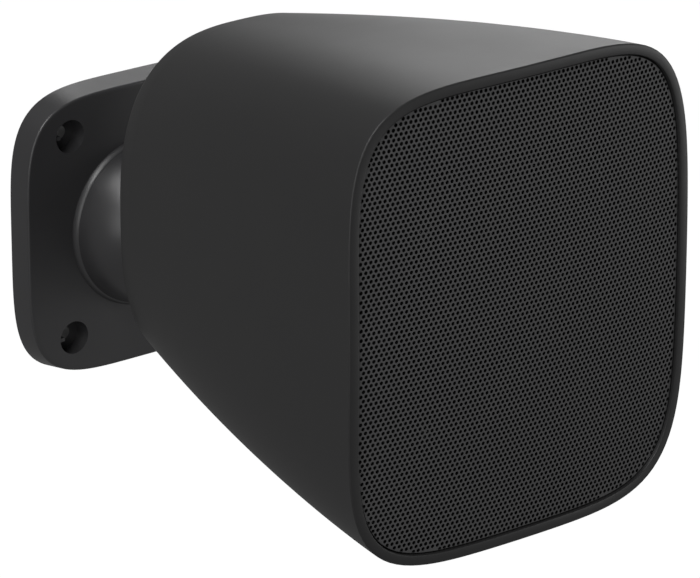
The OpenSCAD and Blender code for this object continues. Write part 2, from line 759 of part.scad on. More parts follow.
module terminal_cup() {
    depth = cup_d + cup_wall;
    through = cup_d + cup_lip_t + 1;
    color("#1e1e20") in_cabinet() difference() {
        union() {
            translate([0, cabinet_d, cup_up])
                rounded_slab(cup_w + 2 * cup_lip, cup_h + 2 * cup_lip, cup_round + cup_lip - 1, cup_lip_t);
            translate([0, cabinet_d - depth, cup_up]) rounded_slab(cup_w, cup_h, cup_round, depth + 1);
        }
        translate([0, cabinet_d - cup_d, cup_up])
            rounded_slab(cup_w - 2 * cup_wall, cup_h - 2 * cup_wall, cup_round - cup_wall, through);
        at_cup_screws() rotate([-90, 0, 0]) translate([0, 0, -1])
            cylinder(r = cup_screw_r + screw_gap, h = cup_lip_t + 2);
    }
}

block_w = 26;
block_h = 12;
block_t = 10;
pole_pitch = 11;

module terminal_block() {
    base = cabinet_d - cup_d;
    color("#3f3f42") in_cabinet() translate([0, base, cup_up]) difference() {
        union() {
            translate([-block_w / 2, 0, -block_h / 2]) cube([block_w, block_t, block_h]);
            translate([-1, 0, -block_h / 2 - 1]) cube([2, block_t + 1, block_h + 2]);
        }
        for (side = [-1, 1]) translate([side * pole_pitch / 2, 0, 0]) {
            translate([0, block_t - 4, 0]) rotate([-90, 0, 0]) cylinder(r = 2.7, h = 5);
            translate([0, block_t / 2 - 1, -block_h / 2 - 1]) cylinder(r = 1.8, h = block_h / 2);
        }
    }
}

module terminal_screws() {
    color("gold") in_cabinet() for (side = [-1, 1])
        translate([side * pole_pitch / 2, cabinet_d - cup_d + block_t - 4 + 1.8, cup_up]) rotate([90, 0, 0])
            screw(1.2, 1.8, 2.4, 1.6);
}

module cup_screws() {
    color("silver") in_cabinet() at_cup_screws() translate([0, cup_lip_t, 0]) rotate([90, 0, 0])
        screw(cup_screw_r, cup_lip_t + back_wall + 2, 2.4, 1.4);
}

wall_plate();
ball_retainer();
retainer_screws();
cross_pin();
ball_stud();
stud_screws();
cabinet();
baffle();
baffle_seal();
baffle_screws();
grille();
wadding();
driver_basket();
driver_gasket();
surround();
cone();
dust_cap();
voice_coil();
spider();
front_plate();
magnet();
pole_piece();
tag_strip();
driver_screws();
terminal_cup();
terminal_block();
terminal_screws();
cup_screws();
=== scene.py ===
import json
import math
import bmesh
import bpy
from mathutils import Matrix, Vector

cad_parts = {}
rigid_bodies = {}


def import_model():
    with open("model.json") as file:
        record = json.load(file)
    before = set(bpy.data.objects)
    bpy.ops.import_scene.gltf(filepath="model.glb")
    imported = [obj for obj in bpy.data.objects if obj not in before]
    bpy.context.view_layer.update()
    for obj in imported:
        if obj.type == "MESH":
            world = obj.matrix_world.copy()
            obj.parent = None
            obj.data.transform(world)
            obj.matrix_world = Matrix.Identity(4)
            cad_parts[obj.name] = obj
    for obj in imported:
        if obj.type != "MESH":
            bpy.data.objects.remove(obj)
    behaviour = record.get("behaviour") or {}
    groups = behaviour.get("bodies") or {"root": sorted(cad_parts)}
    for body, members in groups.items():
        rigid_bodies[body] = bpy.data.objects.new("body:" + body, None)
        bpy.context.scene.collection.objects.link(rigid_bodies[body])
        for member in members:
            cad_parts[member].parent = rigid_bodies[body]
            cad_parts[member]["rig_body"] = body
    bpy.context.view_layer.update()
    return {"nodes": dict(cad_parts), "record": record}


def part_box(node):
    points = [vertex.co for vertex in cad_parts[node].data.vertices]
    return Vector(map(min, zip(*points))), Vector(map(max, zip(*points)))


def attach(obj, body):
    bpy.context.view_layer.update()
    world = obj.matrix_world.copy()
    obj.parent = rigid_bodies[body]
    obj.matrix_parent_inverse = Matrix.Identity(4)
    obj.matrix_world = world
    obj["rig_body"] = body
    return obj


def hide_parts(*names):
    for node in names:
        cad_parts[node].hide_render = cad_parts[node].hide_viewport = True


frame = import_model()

nodes = frame["nodes"]
print("frame loaded:", len(nodes), "nodes")

# the photograph's viewpoint, solved from the grille's holes
viewpoint = {
    "aim": (-0.0464, -0.1907, 0.0343),
    "distance": 1.651,
    "azimuth": -38.87,
    "elevation": 20.13,
    "lens": 251.3,
    "sensor": 36.0,
}


def linkNew(name, data):
    made = bpy.data.objects.new(name, data)
    bpy.context.scene.collection.objects.link(made)
    return made


# Stands a camera or a lamp around the speaker and turns it there
def standAround(item, place):
    azimuth = math.radians(place["azimuth"])
    elevation = math.radians(place["elevation"])
    away = Vector((
        math.sin(azimuth) * math.cos(elevation),
        -math.cos(azimuth) * math.cos(elevation),
        math.sin(elevation),
    ))
    item.location = Vector(viewpoint["aim"]) + away * place["distance"]
    item.rotation_euler = away.to_track_quat("Z", "Y").to_euler()


def makeCamera():
    data = bpy.data.cameras.new("camera")
    data.lens = viewpoint["lens"]
    data.sensor_width = viewpoint["sensor"]
    data.sensor_fit = "HORIZONTAL"
    data.clip_end = 50
    camera = linkNew("camera", data)
    standAround(camera, viewpoint)
    bpy.context.scene.camera = camera


makeCamera()
print("camera placed")


# Shader helpers

def newMaterial(name):
    material = bpy.data.materials.new(name)
    material.use_nodes = True
    tree = material.node_tree
    return material, tree, tree.nodes["Principled BSDF"]


def addNode(tree, kind, **values):
    node = tree.nodes.new(kind)
    for key, value in values.items():
        setattr(node, key, value)
    return node


def groupSocket(tree, name, direction, kind="NodeSocketFloat", value=None):
    socket = tree.interface.new_socket(name=name, in_out=direction, socket_type=kind)
    if value is not None:
        socket.default_value = value


# Moulded grain: fine round pits over a slow mottling
def makeGrainGroup():
    tree = bpy.data.node_groups.new("mouldedGrain", "ShaderNodeTree")
    groupSocket(tree, "Vector", "INPUT", "NodeSocketVector")
    groupSocket(tree, "Pit size", "INPUT", value=0.0004)
    groupSocket(tree, "Mottle size", "INPUT", value=0.02)
    groupSocket(tree, "Height", "OUTPUT")
    groupSocket(tree, "Mottle", "OUTPUT")
    entry = addNode(tree, "NodeGroupInput")
    leave = addNode(tree, "NodeGroupOutput")
    pits = addNode(tree, "ShaderNodeTexNoise")
    pits.inputs["Detail"].default_value = 2.0
    pits.inputs["Roughness"].default_value = 0.55
    mottle = addNode(tree, "ShaderNodeTexNoise")
    mottle.inputs["Detail"].default_value = 3.0
    for size, texture, result in (("Pit size", pits, "Height"), ("Mottle size", mottle, "Mottle")):
        scale = addNode(tree, "ShaderNodeMath", operation="DIVIDE")
        scale.inputs[0].default_value = 1.0
        tree.links.new(entry.outputs[size], scale.inputs[1])
        tree.links.new(scale.outputs[0], texture.inputs["Scale"])
        tree.links.new(entry.outputs["Vector"], texture.inputs["Vector"])
        tree.links.new(texture.outputs["Fac"], leave.inputs[result])
    return tree


grainGroup = makeGrainGroup()


# One finish: two close tones and two roughnesses over the mottling, and a grain that stands in relief
def makeFinish(name, look):
    material, tree, shader = newMaterial(name)
    links = tree.links
    coordinates = addNode(tree, "ShaderNodeTexCoord")
    grain = addNode(tree, "ShaderNodeGroup")
    grain.node_tree = grainGroup
    grain.inputs["Pit size"].default_value = look.get("pit", 0.0004)
    grain.inputs["Mottle size"].default_value = look.get("mottle", 0.02)
    links.new(coordinates.outputs["Object"], grain.inputs["Vector"])
    tone = addNode(tree, "ShaderNodeMix", data_type="RGBA")
    tone.inputs[6].default_value = (*look["dark"], 1)
    tone.inputs[7].default_value = (*look["light"], 1)
    links.new(grain.outputs["Mottle"], tone.inputs[0])
    if "paintedShadeShare" in look:
        # painted shade: the base colour is scaled down where the bore attribute is set, on the holes' walls and
        # the grille's rim
        depth = addNode(tree, "ShaderNodeAttribute", attribute_name="bore")
        paintedShadeAmount = addNode(tree, "ShaderNodeMapRange")
        paintedShadeAmount.inputs["From Max"].default_value = 0.15
        paintedShadeAmount.inputs["To Min"].default_value = 1.0
        paintedShadeAmount.inputs["To Max"].default_value = look["paintedShadeShare"]
        links.new(depth.outputs["Fac"], paintedShadeAmount.inputs["Value"])
        shadedColour = addNode(tree, "ShaderNodeVectorMath", operation="SCALE")
        links.new(tone.outputs[2], shadedColour.inputs[0])
        links.new(paintedShadeAmount.outputs["Result"], shadedColour.inputs["Scale"])
        links.new(shadedColour.outputs["Vector"], shader.inputs["Base Color"])
    else:
        links.new(tone.outputs[2], shader.inputs["Base Color"])
    rough = addNode(tree, "ShaderNodeMapRange")
    rough.inputs["From Min"].default_value = 0.3
    rough.inputs["From Max"].default_value = 0.7
    rough.inputs["To Min"].default_value = look["rough"][0]
    rough.inputs["To Max"].default_value = look["rough"][1]
    links.new(grain.outputs["Mottle"], rough.inputs["Value"])
    links.new(rough.outputs["Result"], shader.inputs["Roughness"])
    bump = addNode(tree, "ShaderNodeBump")
    bump.inputs["Strength"].default_value = look.get("relief", 0.3)
    bump.inputs["Distance"].default_value = look.get("reliefDepth", 0.00008)
    links.new(grain.outputs["Height"], bump.inputs["Height"])
    links.new(bump.outputs["Normal"], shader.inputs["Normal"])
    shader.inputs["Metallic"].default_value = look.get("metal", 0.0)
    shader.inputs["Specular IOR Level"].default_value = look.get("gloss", 0.5)
    return material


# sizes in metres; the grille's painted-shade share is the part of its base colour left where painted shade darkens
# the holes' walls and the rim
finishes = {
    "black_moulding": {
        "dark": (0.0165, 0.0165, 0.017), "light": (0.0205, 0.0202, 0.0205), "rough": (0.45, 0.47),
        "pit": 0.00045, "relief": 0.2,
    },
    "bracket_moulding": {
        "dark": (0.03, 0.0296, 0.0315), "light": (0.036, 0.0355, 0.037), "rough": (0.35, 0.37),
        "pit": 0.00045, "relief": 0.2, "gloss": 0.7,
    },
    "grille_paint": {
        "dark": (0.082, 0.082, 0.085), "light": (0.096, 0.095, 0.095), "rough": (0.6, 0.65),
        "pit": 0.0002, "relief": 0.15, "gloss": 0.25, "paintedShadeShare": 0.08,
    },
    "inner_plastic": {
        "dark": (0.016, 0.016, 0.017), "light": (0.022, 0.022, 0.023), "rough": (0.5, 0.6),
    },
    "basket_paint": {
        "dark": (0.03, 0.03, 0.031), "light": (0.04, 0.04, 0.041), "rough": (0.35, 0.45), "pit": 0.0003,
    },
    "cone_paper": {
        "dark": (0.05, 0.05, 0.052), "light": (0.07, 0.069, 0.068), "rough": (0.7, 0.8),
        "pit": 0.0009, "mottle": 0.006, "relief": 0.5,
    },
    "soft_rubber": {
        "dark": (0.02, 0.02, 0.021), "light": (0.026, 0.026, 0.027), "rough": (0.5, 0.6), "relief": 0.1,
    },
    "foam": {
        "dark": (0.02, 0.02, 0.02), "light": (0.034, 0.034, 0.034), "rough": (0.85, 0.95),
        "pit": 0.0007, "relief": 0.8,
    },
    "polyester_fill": {
        "dark": (0.55, 0.55, 0.53), "light": (0.8, 0.8, 0.78), "rough": (0.85, 0.95),
        "pit": 0.0012, "mottle": 0.01, "relief": 1.0, "reliefDepth": 0.0008,
    },
    "spider_cloth": {
        "dark": (0.36, 0.22, 0.08), "light": (0.5, 0.32, 0.13), "rough": (0.75, 0.85),
        "pit": 0.0006, "relief": 0.6,
    },
    "ferrite": {
        "dark": (0.04, 0.04, 0.043), "light": (0.07, 0.07, 0.074), "rough": (0.55, 0.7), "pit": 0.0008,
    },
    "zinc_steel": {
        "dark": (0.42, 0.42, 0.4), "light": (0.55, 0.55, 0.53), "rough": (0.28, 0.42),
        "metal": 1.0, "pit": 0.0006, "relief": 0.1,
    },
    "pin_steel": {
        "dark": (0.5, 0.5, 0.5), "light": (0.6, 0.6, 0.61), "rough": (0.2, 0.3),
        "metal": 1.0, "relief": 0.05,
    },
    "copper_coil": {
        "dark": (0.5, 0.2, 0.09), "light": (0.7, 0.33, 0.17), "rough": (0.3, 0.4), "metal": 1.0,
    },
    "tag_board": {
        "dark": (0.13, 0.07, 0.03), "light": (0.2, 0.11, 0.05), "rough": (0.5, 0.6),
    },
    "terminal_brass": {
        "dark": (0.5, 0.36, 0.13), "light": (0.66, 0.5, 0.22), "rough": (0.25, 0.38), "metal": 1.0,
    },
}
materials = {name: makeFinish(name, look) for name, look in finishes.items()}
slotOfNode = {part["node"]: part["material_slot"] for part in frame["record"]["subparts"]}
print("materials made:", len(materials))


# Mesh helpers

mergeGap = 0.000004  # points closer than this are one


def meshObject(name, bm):
    mesh = bpy.data.meshes.new(name)
    bm.to_mesh(mesh)
    bm.free()
    return linkNew(name, mesh)


def finishPiece(name, bm, slot, body, replaced=(), sharpAngle=32):
    for edge in bm.edges:
        edge.smooth = not (len(edge.link_faces) == 2 and edge.calc_face_angle(0) > math.radians(sharpAngle))
    for face in bm.faces:
        face.smooth = True
    piece = meshObject(name, bm)
    piece.data.materials.append(materials[slot])
    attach(piece, body)
    if replaced:
        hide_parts(*replaced)
    return piece


def mix(a, b, t):
    return a + (b - a) * t


def onlyVerts(items):
    return [item for item in items if isinstance(item, bmesh.types.BMVert)]


def onlyEdges(items):
    return [item for item in items if isinstance(item, bmesh.types.BMEdge)]


# Reach of a rounded outline in one direction; a square of 2 is an ellipse, a higher one has fuller corners
def reachAt(turn, halfW, halfH, square):
    across = abs(math.cos(turn)) / halfW
    up = abs(math.sin(turn)) / halfH
    return (across ** square + up ** square) ** (-1 / square)


def placeRing(bm, verts, halfW, halfH, square, depthAt, centre=(0.0, 0.0)):
    turnLayer = bm.verts.layers.float["turn"]
    for vert in verts:
        turn = vert[turnLayer]
        reach = reachAt(turn, halfW, halfH, square)
        x = centre[0] + reach * math.cos(turn)
        z = centre[1] + reach * math.sin(turn)
        vert.co = (x, depthAt(x, z), z)


# A shell grows ring by ring, each one extruded from the one before and moved to its own outline
def firstRing(bm, count, *place, **more):
    turnLayer = bm.verts.layers.float.new("turn")
    made = bmesh.ops.create_circle(bm, cap_ends=False, radius=1, segments=count)
    for vert in made["verts"]:
        vert[turnLayer] = math.atan2(vert.co.y, vert.co.x)
    placeRing(bm, made["verts"], *place, **more)
    return list(bm.edges)


def nextRing(bm, edges, *place, **more):
    made = bmesh.ops.extrude_edge_only(bm, edges=edges)["geom"]
    placeRing(bm, onlyVerts(made), *place, **more)
    return onlyEdges(made)


# The cabinet's own measures, in metres
cabinetLook = {
    "faceHalfW": 0.07548,
    "faceHalfH": 0.08548,
    "backHalfW": 0.0539,
    "backHalfH": 0.06365,
    "depth": 0.1624,
    "wall": 0.0032,
    "backWall": 0.0038,
    "bezel": 0.004,
    "bowX": 0.625,
    "bowZ": 1.318,
    "bulge": 0.42,
    "faceSquare": 4.7,
    "mouthSquare": 5.1,
    "backSquare": 2.74,
    "squareTurn": 1.26,
    "backRound": 0.0025,
    "frontRound": 0.0007,
    "mouthRound": 0.0005,
    "ledge": 0.005,
    "ledgeThick": 0.004,
    "ledgeSlope": 0.004,
    "cupHole": (0.0283, 0.0173, 7.0),
    "sideRings": 22,
    "cavityRings": 6,
    "outline": 192,
}

# places that come from the frame; depths count from the crown of the face
boxLow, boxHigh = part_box("cabinet")
faceY = boxHigh[1] - cabinetLook["depth"]
middleZ = (boxLow[2] + boxHigh[2]) / 2
middle = (0.0, middleZ)
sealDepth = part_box("baffle_seal")[1][1] - faceY
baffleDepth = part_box("baffle")[0][1] - faceY
print("face crown at", round(faceY, 4), "middle height", round(middleZ, 4))


def sag(x, z):
    return x * x / (2 * cabinetLook["bowX"]) + (z - middleZ) ** 2 / (2 * cabinetLook["bowZ"])


def flatAt(y):
    return lambda x, z: y


# A ring that follows the domed face, fully or by a share
def domedAt(depth, share=1.0):
    return lambda x, z: faceY + depth + share * sag(x, z)


# Half width, half height and squareness at a share of the depth
def bodySize(t, inset=0.0):
    look = cabinetLook
    narrow = t + look["bulge"] * t * (t - 1)
    return (
        mix(look["faceHalfW"], look["backHalfW"], narrow) - inset,
        mix(look["faceHalfH"], look["backHalfH"], narrow) - inset,
        mix(look["faceSquare"], look["backSquare"], t ** look["squareTurn"]),
    )


def makeCabinet():
    look = cabinetLook
    depth, frontRound, backRound = look["depth"], look["frontRound"], look["backRound"]
    cupLow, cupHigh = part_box("terminal_cup")
    cupMiddle = (0.0, (cupLow[2] + cupHigh[2]) / 2)
    bm = bmesh.new()

    def ring(edges, w, h, square, depthAt):
        return nextRing(bm, edges, w, h, square, depthAt, centre=middle)

    # the closed wall starts at the terminal cup's hole and runs round the outside to the cavity
    start = firstRing(bm, look["outline"], *look["cupHole"], flatAt(faceY + depth), centre=cupMiddle)
    edges = start
    for cut, rise in ((1.0, 0.0), (0.5, 0.13), (0.13, 0.5)):
        d = depth - backRound * rise
        edges = ring(edges, *bodySize(d / depth, backRound * cut), flatAt(faceY + d))
    for k in range(look["sideRings"], -1, -1):
        t = mix(frontRound / depth, 1 - backRound / depth, k / look["sideRings"])
        edges = ring(edges, *bodySize(t), domedAt(t * depth, 1 - t))
    for cut, rise in ((0.05, 0.7), (0.13, 0.5), (0.29, 0.29), (0.5, 0.13), (0.75, 0.03), (1.0, 0.0)):
        w, h = look["faceHalfW"] - frontRound * cut, look["faceHalfH"] - frontRound * cut
        edges = ring(edges, w, h, look["faceSquare"], domedAt(frontRound * rise))

    # the mouth with its rounded lip, and the ledge that the baffle's seal lies on
    mouthW = look["faceHalfW"] - look["bezel"]
    mouthH = look["faceHalfH"] - look["bezel"]
    for out, sink in ((1.0, 0.0), (0.3, 0.3), (0.0, 1.0)):
        lip = look["mouthRound"] * out
        edges = ring(edges, mouthW + lip, mouthH + lip, look["mouthSquare"], domedAt(look["mouthRound"] * sink))
    ledgeSquare = bodySize(sealDepth / depth)[2]
    ledgeBack = sealDepth + look["ledgeThick"]
    for inset, d in ((0.0, sealDepth), (look["ledge"], sealDepth), (look["ledge"], ledgeBack)):
        edges = ring(edges, mouthW - inset, mouthH - inset, ledgeSquare, flatAt(faceY + d))

    # the cavity, back to the terminal cup's hole
    inner = depth - look["backWall"]
    for k in range(look["cavityRings"] + 1):
        d = mix(ledgeBack + look["ledgeSlope"], inner - backRound, k / look["cavityRings"])
        edges = ring(edges, *bodySize(d / depth, look["wall"]), flatAt(faceY + d))
    edges = ring(edges, *bodySize(inner / depth, look["wall"] + backRound), flatAt(faceY + inner))
    edges = nextRing(bm, edges, *look["cupHole"], flatAt(faceY + inner), centre=cupMiddle)
    bmesh.ops.bridge_loops(bm, edges=edges + start)
    bmesh.ops.recalc_face_normals(bm, faces=bm.faces)
    return finishPiece("cabinet_skin", bm, "black_moulding", "speaker", ("cabinet",))


makeCabinet()
print("cabinet made")


# Perforated sheet: hexagon cells with a round hole in each, cut off along the mouth's outline
grilleLook = {
    "pitch": 0.0020,
    "rowShare": 0.9625,
    "hole": 0.00142,
    "sheet": 0.001,
    "inset": 0.0012,
    "gap": 0.0003,
    "bend": 0.0003,
    "keep": 0.0002,
    "lap": 0.0002,
    "rimBack": 0.0014,
    "lapBack": 0.00095,
    "lapFront": 0.0001,
}
mouthHalfW = cabinetLook["faceHalfW"] - cabinetLook["bezel"] - grilleLook["gap"]
mouthHalfH = cabinetLook["faceHalfH"] - cabinetLook["bezel"] - grilleLook["gap"]


def copyMoved(bm, geom, vec):
    copied = bmesh.ops.duplicate(bm, geom=geom)["geom"]
    bmesh.ops.translate(bm, verts=onlyVerts(copied), vec=vec)


# One row of copied cells, then the rows, every second one shifted by half a cell
def makeLattice(bm, halfW, halfH):
    pitch = grilleLook["pitch"]
    row = pitch * math.sqrt(3) / 2
    acrossCount = 2 * int(halfW / pitch) + 3
    upCount = int(halfH / row / grilleLook["rowShare"]) + 1
    bmesh.ops.create_circle(bm, cap_ends=True, radius=pitch / math.sqrt(3), segments=6)
    bmesh.ops.subdivide_edges(bm, edges=bm.edges, cuts=1)
    bmesh.ops.translate(bm, verts=bm.verts, vec=(-(acrossCount // 2) * pitch, 0, 0))
    cell = list(bm.verts) + list(bm.edges) + list(bm.faces)
    for k in range(1, acrossCount):
        copyMoved(bm, cell, (k * pitch, 0, 0))
    bmesh.ops.remove_doubles(bm, verts=bm.verts, dist=pitch * 0.05)
    line = list(bm.verts) + list(bm.edges) + list(bm.faces)
    for k in range(-upCount, upCount + 1):
        if k != 0:
            copyMoved(bm, line, (pitch / 2 if k % 2 else 0.0, k * row, 0))
    bmesh.ops.remove_doubles(bm, verts=bm.verts, dist=pitch * 0.05)
    bmesh.ops.scale(bm, verts=bm.verts, vec=(1, grilleLook["rowShare"], 1))


def makeGrille():
    look = grilleLook
    halfW, halfH = mouthHalfW - look["bend"], mouthHalfH - look["bend"]
    bm = bmesh.new()
    paintedShadeLayer = bm.verts.layers.float.new("bore")
    makeLattice(bm, halfW, halfH)

    def reachFrom(point):
        return reachAt(math.atan2(point.y, point.x), halfW, halfH, cabinetLook["mouthSquare"])

    centres = {face: face.calc_center_median() for face in bm.faces}
    outside = [face for face, centre in centres.items() if reachFrom(centre) - centre.length < look["keep"]]
    bmesh.ops.delete(bm, geom=outside, context="FACES")
    cells = list(bm.faces)
    border = [vert for vert in bm.verts if any(edge.is_boundary for edge in vert.link_edges)]
    bmesh.ops.inset_individual(bm, faces=cells, thickness=0.0001, depth=0)
    for cell in cells:
        for vert in cell.verts:
            vert.co = centres[cell] + (vert.co - centres[cell]).normalized() * look["hole"] / 2
    for vert in bm.verts:
        if reachFrom(vert.co) < vert.co.length:
            vert.co *= reachFrom(vert.co) / vert.co.length
    for vert in border:
        vert.co *= reachFrom(vert.co) / vert.co.length

    # the holes get their walls, marked for the painted shade that darkens them
    holes = bmesh.ops.extrude_discrete_faces(bm, faces=cells)["faces"]
    walled = [vert for face in holes for vert in face.verts]
    bmesh.ops.translate(bm, verts=walled, vec=(0, 0, -look["sheet"]))
    for vert in walled:
        vert[paintedShadeLayer] = 1.0
    bmesh.ops.delete(bm, geom=holes, context="FACES")
    for vert in bm.verts:
        x, z, back = vert.co.x, vert.co.y + middleZ, -vert.co.z
        vert.co = (x, faceY + sag(x, z) + look["inset"] + back, z)

    # two halves keep each mesh light
    lower = bm.copy()
    above = [face for face in lower.faces if face.calc_center_median().z > middleZ]
    below = [face for face in bm.faces if face.calc_center_median().z <= middleZ]
    bmesh.ops.delete(lower, geom=above, context="FACES")
    bmesh.ops.delete(bm, geom=below, context="FACES")
    return (
        finishPiece("grille_sheet_upper", bm, "grille_paint", "speaker", ("grille",), sharpAngle=50),
        finishPiece("grille_sheet_lower", lower, "grille_paint", "speaker", sharpAngle=50),
    )


# The sheet's edge, bent back and down to the baffle
def makeGrilleRim():
    look = grilleLook
    bend, sheet, inside = look["bend"], look["sheet"], look["bend"] + look["lap"]
    square = cabinetLook["mouthSquare"]
    ledgeSquare = bodySize(sealDepth / cabinetLook["depth"])[2]
    footSquare = mix(square, ledgeSquare, baffleDepth / sealDepth)
    bm = bmesh.new()
    paintedShadeLayer = bm.verts.layers.float.new("bore")

    def place(inset, square, depthAt):
        return mouthHalfW - inset, mouthHalfH - inset, square, depthAt

    def behind(d):
        return domedAt(look["inset"] + d)

    edges = firstRing(
        bm, cabinetLook["outline"], *place(inside, square, behind(look["lapFront"])), centre=middle,
    )
    start = edges
    for inset, d in ((0.85, 0.02), (0.5, 0.13), (0.13, 0.5), (0.0, 1.0)):
        edges = nextRing(bm, edges, *place(bend * inset, square, behind(bend * d)), centre=middle)
    for inset in (0.0, sheet):
        edges = nextRing(bm, edges, *place(inset, footSquare, flatAt(faceY + baffleDepth)), centre=middle)
    for inset, d in ((sheet, look["rimBack"]), (sheet, look["lapBack"]), (inside, look["lapBack"])):
        edges = nextRing(bm, edges, *place(inset, square, behind(d)), centre=middle)
    bmesh.ops.bridge_loops(bm, edges=edges + start)
    # painted shadow: every rim vertex gets the full painted shade, a dark line along the grille's edge
    for vert in bm.verts:
        vert[paintedShadeLayer] = 1.0
    bmesh.ops.recalc_face_normals(bm, faces=bm.faces)
    return finishPiece("grille_rim", bm, "grille_paint", "speaker")


sheets = makeGrille()
makeGrilleRim()
print("grille made:", sum(len(sheet.data.polygons) for sheet in sheets), "faces")


# The wall plate: one closed profile from the dome's mouth round the outside and back through the ball's seat
plateLook = {
    "halfW": 0.053,
    "halfH": 0.0557,
    "thick": 0.0109,
    "skin": 0.0032,
    "square": 4.3,
    "draft": 0.0012,
    "sideDraft": 0.0003,
    "edge": 0.0009,
    "edgeBand": 0.0012,
    "backEdge": 0.0004,
    "innerRound": 0.0015,
    "foot": 0.0329,
    "footEdge": (0.0013, 0.002),
    "footPower": 1.5,
    "footStep": 0.0022,
    "dome": 0.0319,
    "domeRise": 0.0311,
    "domeFrom": 8,
    "domeTop": 59.92,
    "domeRings": 16,
    "ballOut": 0.014,
    "seat": 0.01905,
    "seatRings": 10,
    "mouthAngle": 56,
    "bore": 0.024,
    "boreEnd": 0.0023,
    "hub": 0.032,
    "hubSet": 0.004,
    "screwX": 0.033,
    "screwZ": 0.0393,
    "holeR": 0.0026,
    "headR": 0.0063,
    "headD": 0.007,
    "bossR": 0.0085,
    "ribHalf": 0.001,
    "recessRib": (0.0024, 0.0007, 0.0006),
    "fixingRing": 0.028,
    "fixingR": 0.0016,
    "slotR": 0.0215,
    "slotHalf": 0.00215,
    "slotReach": 0.01117,
    "overlap": 0.001,
}
plateFront = -plateLook["thick"]
jointY = -(plateLook["thick"] + plateLook["ballOut"])


def addBox(bm, low, high):
    centre = [(a + b) / 2 for a, b in zip(low, high)]
    size = [b - a for a, b in zip(low, high)]
    bmesh.ops.create_cube(bm, size=1, matrix=Matrix.Translation(centre) @ Matrix.Diagonal((*size, 1)))


# A cylinder along the depth, between two places on it
def addPeg(bm, x, z, radius, near, far, segments=64):
    turn = Matrix.Rotation(math.radians(90), 4, "X")
    place = Matrix.Translation((x, (near + far) / 2, z)) @ turn
    bmesh.ops.create_cone(
        bm, cap_ends=True, segments=segments, radius1=radius, radius2=radius, depth=abs(far - near), matrix=place,
    )


# A stepped hole for a wall screw, made on its own and then added to the cutters
def addRecess(cutters, x, z):
    holeR, headR, floor = plateLook["holeR"], plateLook["headR"], plateLook["headD"] - plateLook["thick"]
    beyond = plateLook["overlap"]
    recess = bmesh.new()
    edges = firstRing(recess, 72, holeR, holeR, 2.0, flatAt(beyond), centre=(x, z))
    for radius, y in ((holeR, floor), (headR, floor), (headR, plateFront - beyond)):
        edges = nextRing(recess, edges, radius, radius, 2.0, flatAt(y), centre=(x, z))
    bmesh.ops.holes_fill(recess, edges=recess.edges)
    spare = bpy.data.meshes.new("recess")
    recess.to_mesh(spare)
    recess.free()
    cutters.from_mesh(spare)
    bpy.data.meshes.remove(spare)


# The level slot of the cross pin: a disc whose front and back are cut off
def makeSlotCutter():
    look = plateLook
    bm = bmesh.new()
    bmesh.ops.create_cone(
        bm, cap_ends=True, segments=96, radius1=look["slotR"], radius2=look["slotR"],
        depth=2 * look["slotHalf"], matrix=Matrix.Translation((0, jointY, 0)),
    )
    for sign in (-1, 1):
        cut = bmesh.ops.bisect_plane(
            bm, geom=list(bm.verts) + list(bm.edges) + list(bm.faces),
            plane_co=(0, jointY + sign * look["slotReach"], 0), plane_no=(0, sign, 0), clear_outer=True,
        )
        bmesh.ops.holes_fill(bm, edges=onlyEdges(cut["geom_cut"]))
    return bm


def cutOrJoin(bm, tools):
    def looseObject(name, source):
        bmesh.ops.recalc_face_normals(source, faces=source.faces)
        return meshObject(name, source)

    body = looseObject("plate_body", bm)
    helpers = []
    for index, (operation, tool) in enumerate(tools):
        helper = looseObject("plate_tool_" + str(index), tool)
        modifier = body.modifiers.new(helper.name, "BOOLEAN")
        modifier.operation = operation
        modifier.solver = "EXACT"
        modifier.object = helper
        helpers.append(helper)
    bpy.context.view_layer.update()
    finished = body.evaluated_get(bpy.context.evaluated_depsgraph_get())
    result = bmesh.new()
    result.from_mesh(finished.to_mesh())
    finished.to_mesh_clear()
    for loose in helpers + [body]:
        mesh = loose.data
        bpy.data.objects.remove(loose)
        bpy.data.meshes.remove(mesh)
    bmesh.ops.remove_doubles(result, verts=result.verts, dist=mergeGap)
    return result


